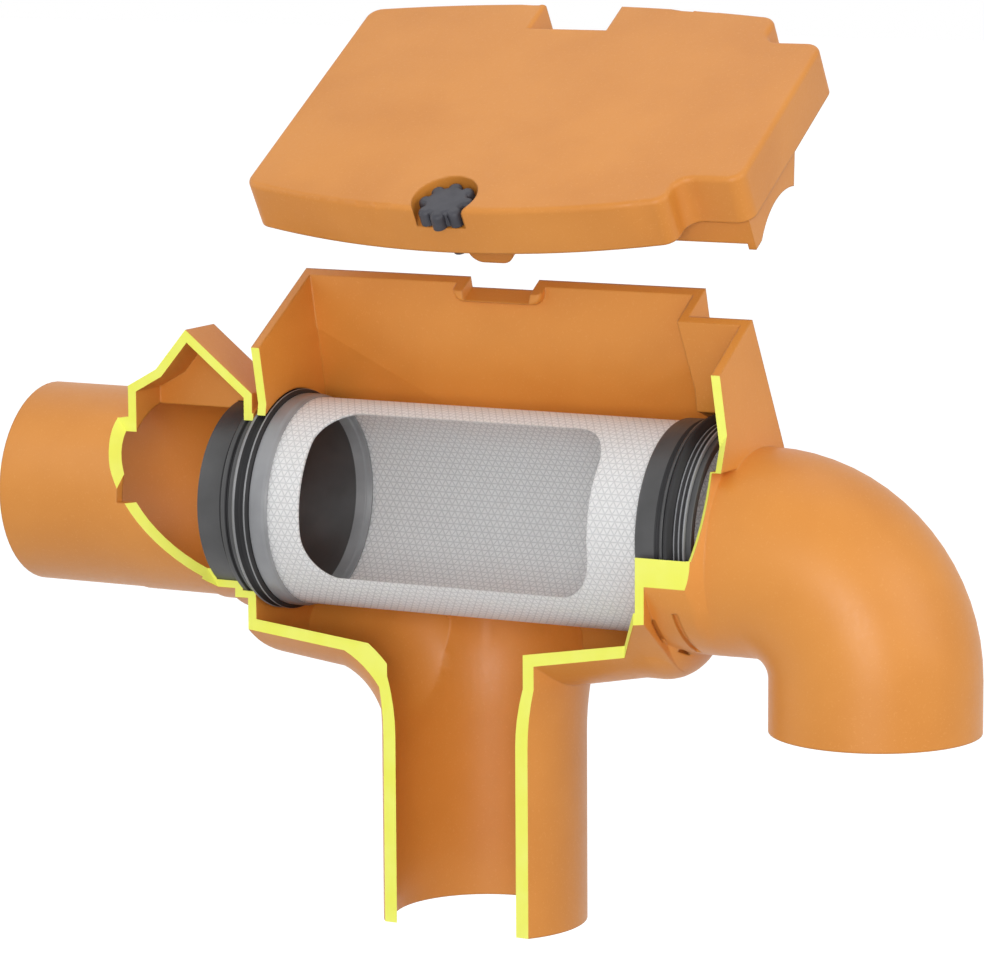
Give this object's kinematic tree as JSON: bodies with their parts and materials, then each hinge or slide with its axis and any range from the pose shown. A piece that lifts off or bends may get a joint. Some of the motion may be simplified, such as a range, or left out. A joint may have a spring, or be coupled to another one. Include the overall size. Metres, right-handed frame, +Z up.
{
  "type": "rainwater tank filter",
  "caption": "Sectioned rainwater tank filter: moulded housing with inlet, tank outlet and overflow elbow, tubular screen cartridge with sealed sleeves, and lifted lid with a knob.",
  "frame": {"origin": "centre of the inlet spigot's mouth", "axes": "+X along the flow from the inlet to the overflow, +Z up; the section opens towards -Y"},
  "size_m": [0.5525, 0.1941, 0.4838],
  "materials": {
    "orange_plastic": "orange-brown moulded polypropylene, satin, lightly mottled",
    "dark_plastic": "dark grey turned plastic rings",
    "seal_rubber": "black rubber lip seal",
    "grey_band": "mid grey clamp band with a soft sheen",
    "screen_mesh": "pale perforated steel with a fine triangular lattice",
    "knob_plastic": "slate grey moulded plastic",
    "clip_steel": "plain steel washer"
  },
  "bodies": {
    "root": {"housing": "orange_plastic", "inlet_sleeve": "dark_plastic", "inlet_seal": "seal_rubber", "inlet_band": "grey_band", "screen": "screen_mesh", "outlet_sleeve": "dark_plastic", "outlet_seal": "seal_rubber", "outlet_band": "grey_band", "lid": "orange_plastic", "lid_knob": "knob_plastic", "knob_stud": "knob_plastic", "knob_clip": "clip_steel"}
  },
  "joints": []
}
